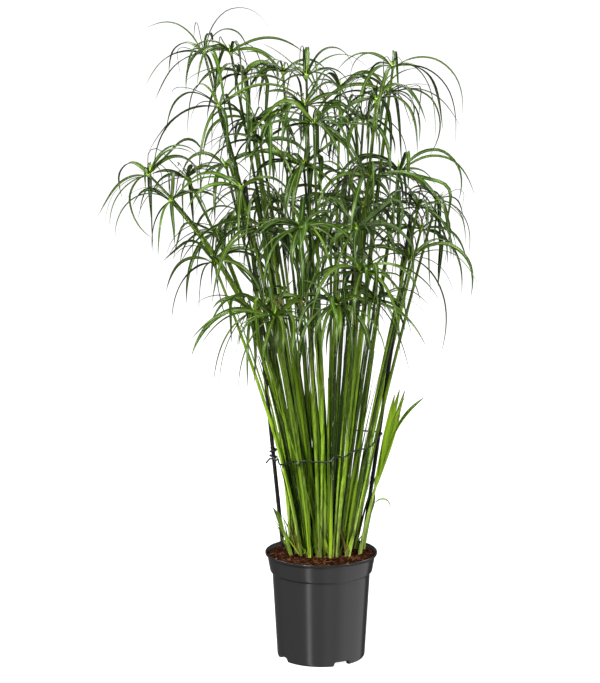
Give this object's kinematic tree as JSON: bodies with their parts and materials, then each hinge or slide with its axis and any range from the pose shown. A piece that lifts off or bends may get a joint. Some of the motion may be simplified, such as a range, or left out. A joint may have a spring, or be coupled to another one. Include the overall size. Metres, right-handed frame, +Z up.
{
  "type": "potted cyperus",
  "caption": "Umbrella papyrus with a dense clump of tall stems, each topped by a crown of arching leaves, tied to two thin canes in a plain round nursery pot.",
  "frame": {"origin": "centre of the flat disc under the pot, on the surface it stands on", "axes": "+Z up along the pot's axis, -Y towards the side seen in the picture, +X to its right"},
  "size_m": [0.5426, 0.4862, 0.9685],
  "materials": {
    "pot_plastic": "satin anthracite plastic with faint upright flow marks",
    "soil_mix": "moist coir and bark crumbs",
    "stem_green": "smooth living stems and leaves, yellow-green near the soil",
    "shoot_green": "bright young shoots",
    "cane_dark": "near-black stained cane",
    "tie_wire": "thin wire in a dark plastic coat"
  },
  "bodies": {
    "root": {"cane_left": "cane_dark", "cane_right": "cane_dark", "pot": "pot_plastic", "shoot_left": "shoot_green", "shoot_low": "shoot_green", "shoot_right": "shoot_green", "soil": "soil_mix", "stem_01": "stem_green", "stem_02": "stem_green", "stem_03": "stem_green", "stem_04": "stem_green", "stem_05": "stem_green", "stem_06": "stem_green", "stem_07": "stem_green", "stem_08": "stem_green", "stem_09": "stem_green", "stem_10": "stem_green", "stem_11": "stem_green", "stem_12": "stem_green", "stem_13": "stem_green", "stem_14": "stem_green", "stem_15": "stem_green", "stem_16": "stem_green", "stem_17": "stem_green", "stem_18": "stem_green", "stem_19": "stem_green", "stem_20": "stem_green", "stem_21": "stem_green", "stem_22": "stem_green", "stem_23": "stem_green", "stem_24": "stem_green", "stem_25": "stem_green", "stem_26": "stem_green", "stem_27": "stem_green", "stem_28": "stem_green", "stem_29": "stem_green", "stem_30": "stem_green", "stem_31": "stem_green", "stem_32": "stem_green", "stem_33": "stem_green", "stem_34": "stem_green", "stem_35": "stem_green", "stem_36": "stem_green", "stem_37": "stem_green", "stem_38": "stem_green", "stem_39": "stem_green", "stem_40": "stem_green", "stem_41": "stem_green", "stem_42": "stem_green", "stem_43": "stem_green", "stem_44": "stem_green", "stem_45": "stem_green", "tie": "tie_wire"}
  },
  "joints": []
}
